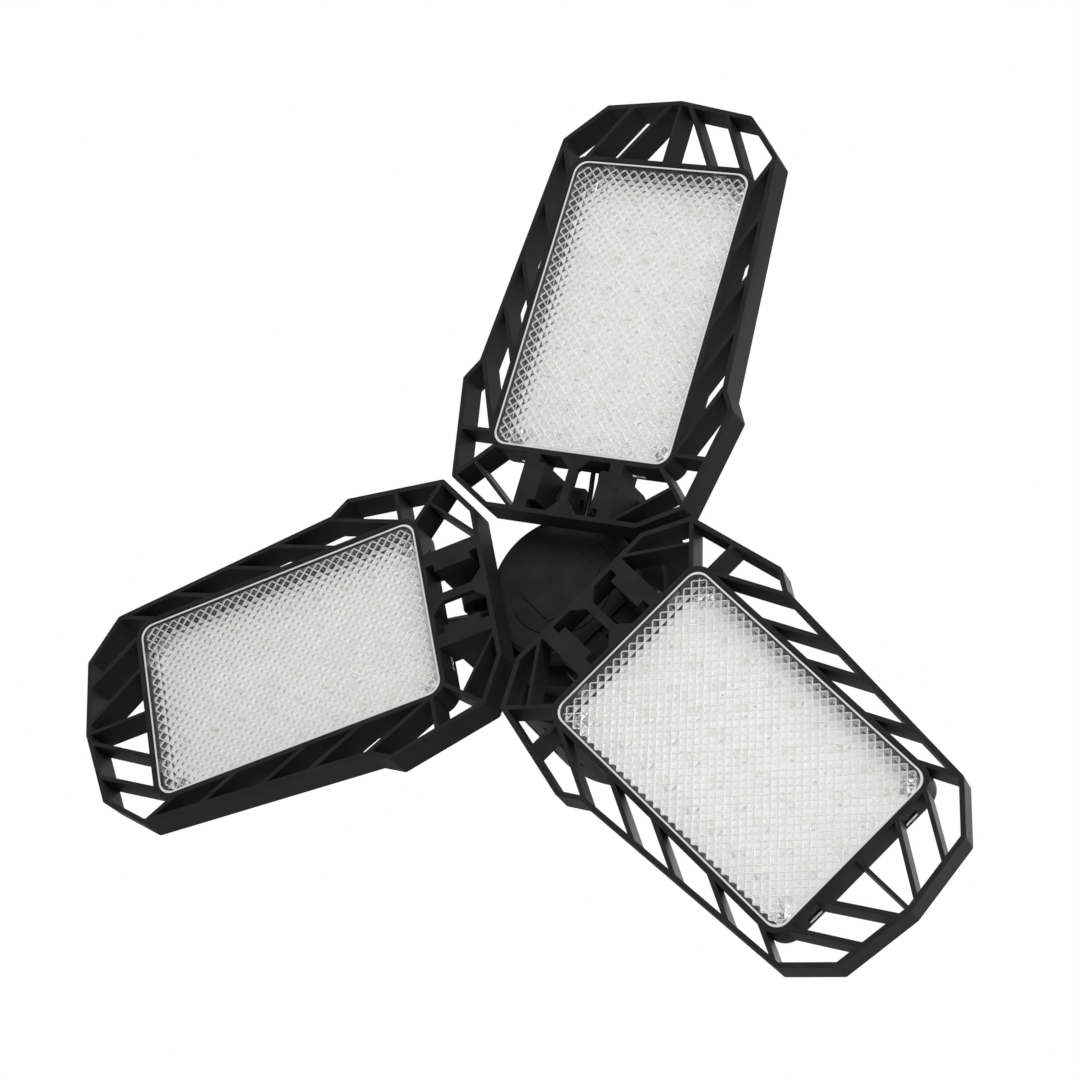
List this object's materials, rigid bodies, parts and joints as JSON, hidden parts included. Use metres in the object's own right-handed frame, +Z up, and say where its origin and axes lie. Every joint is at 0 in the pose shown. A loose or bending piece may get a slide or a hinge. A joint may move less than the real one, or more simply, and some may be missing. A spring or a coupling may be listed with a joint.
{
  "type": "garage light",
  "caption": "Folding ceiling light with a screw base: black lattice leaves with clear prismatic lenses, hinged round a hub below a drum-shaped driver housing.",
  "frame": {"origin": "on the lamp's axis at the lower rim of the screw shell", "axes": "+Z up along the screw base, towards its end contact; +Y along the first leaf, the upper one in the picture"},
  "size_m": [0.3403, 0.3013, 0.1585],
  "materials": {
    "plated_shell": "nickel-plated, smooth",
    "insulator": "moulded, smooth",
    "contact": "pressed, smooth",
    "black_plastic": "satin moulding",
    "circuit_board": "solder mask",
    "can_sleeve": "shrunk sleeve",
    "ferrite": "pressed ferrite with lacquered wire",
    "black_moulding": "moulded",
    "black_wire": "smooth sleeve",
    "white_wire": "smooth sleeve",
    "steel_screw": "zinc-plated",
    "black_screw": "blackened steel",
    "white_board": "white solder mask on aluminium",
    "diode": "phosphor under silicone",
    "clear_lens": "clear, prismatic pattern inside",
    "washer": "hard fibre",
    "grommet": "soft rubber"
  },
  "bodies": {
    "hub": {"screw_shell": "plated_shell", "cap_insulator": "insulator", "centre_contact": "contact", "driver_housing": "black_plastic", "driver_board": "circuit_board", "driver_capacitor": "can_sleeve", "driver_inductor": "ferrite", "driver_rectifier": "black_moulding", "centre_lead": "black_wire", "shell_lead": "white_wire", "hub_body": "black_plastic", "hub_cover": "black_plastic", "housing_screws": "steel_screw", "leaf_1_hinge_screws": "black_screw", "leaf_1_friction_washers": "washer", "leaf_1_lead": "black_wire", "leaf_2_hinge_screws": "black_screw", "leaf_2_friction_washers": "washer", "leaf_2_lead": "black_wire", "leaf_3_hinge_screws": "black_screw", "leaf_3_friction_washers": "washer", "leaf_3_lead": "black_wire"},
    "leaf_1": {"leaf_1_frame": "black_plastic", "leaf_1_led_board": "white_board", "leaf_1_led_chips": "diode", "leaf_1_board_screws": "steel_screw", "leaf_1_lens": "clear_lens", "leaf_1_lead_grommet": "grommet"},
    "leaf_2": {"leaf_2_frame": "black_plastic", "leaf_2_led_board": "white_board", "leaf_2_led_chips": "diode", "leaf_2_board_screws": "steel_screw", "leaf_2_lens": "clear_lens", "leaf_2_lead_grommet": "grommet"},
    "leaf_3": {"leaf_3_frame": "black_plastic", "leaf_3_led_board": "white_board", "leaf_3_led_chips": "diode", "leaf_3_board_screws": "steel_screw", "leaf_3_lens": "clear_lens", "leaf_3_lead_grommet": "grommet"}
  },
  "joints": [
    {"name": "leaf_1_hinge", "type": "hinge", "parent": "hub", "child": "leaf_1", "pos_m": [0, 0.0314, -0.098], "axis": [1, 0, 0], "range_deg": [0, 75], "deforming": ["leaf_1_lead"]},
    {"name": "leaf_2_hinge", "type": "hinge", "parent": "hub", "child": "leaf_2", "pos_m": [-0.02719, -0.0157, -0.098], "axis": [-0.5, 0.866, 0], "range_deg": [-11, 64], "deforming": ["leaf_2_lead"]},
    {"name": "leaf_3_hinge", "type": "hinge", "parent": "hub", "child": "leaf_3", "pos_m": [0.02719, -0.0157, -0.098], "axis": [-0.5, -0.866, 0], "range_deg": [-7.5, 67.5], "deforming": ["leaf_3_lead"]}
  ]
}
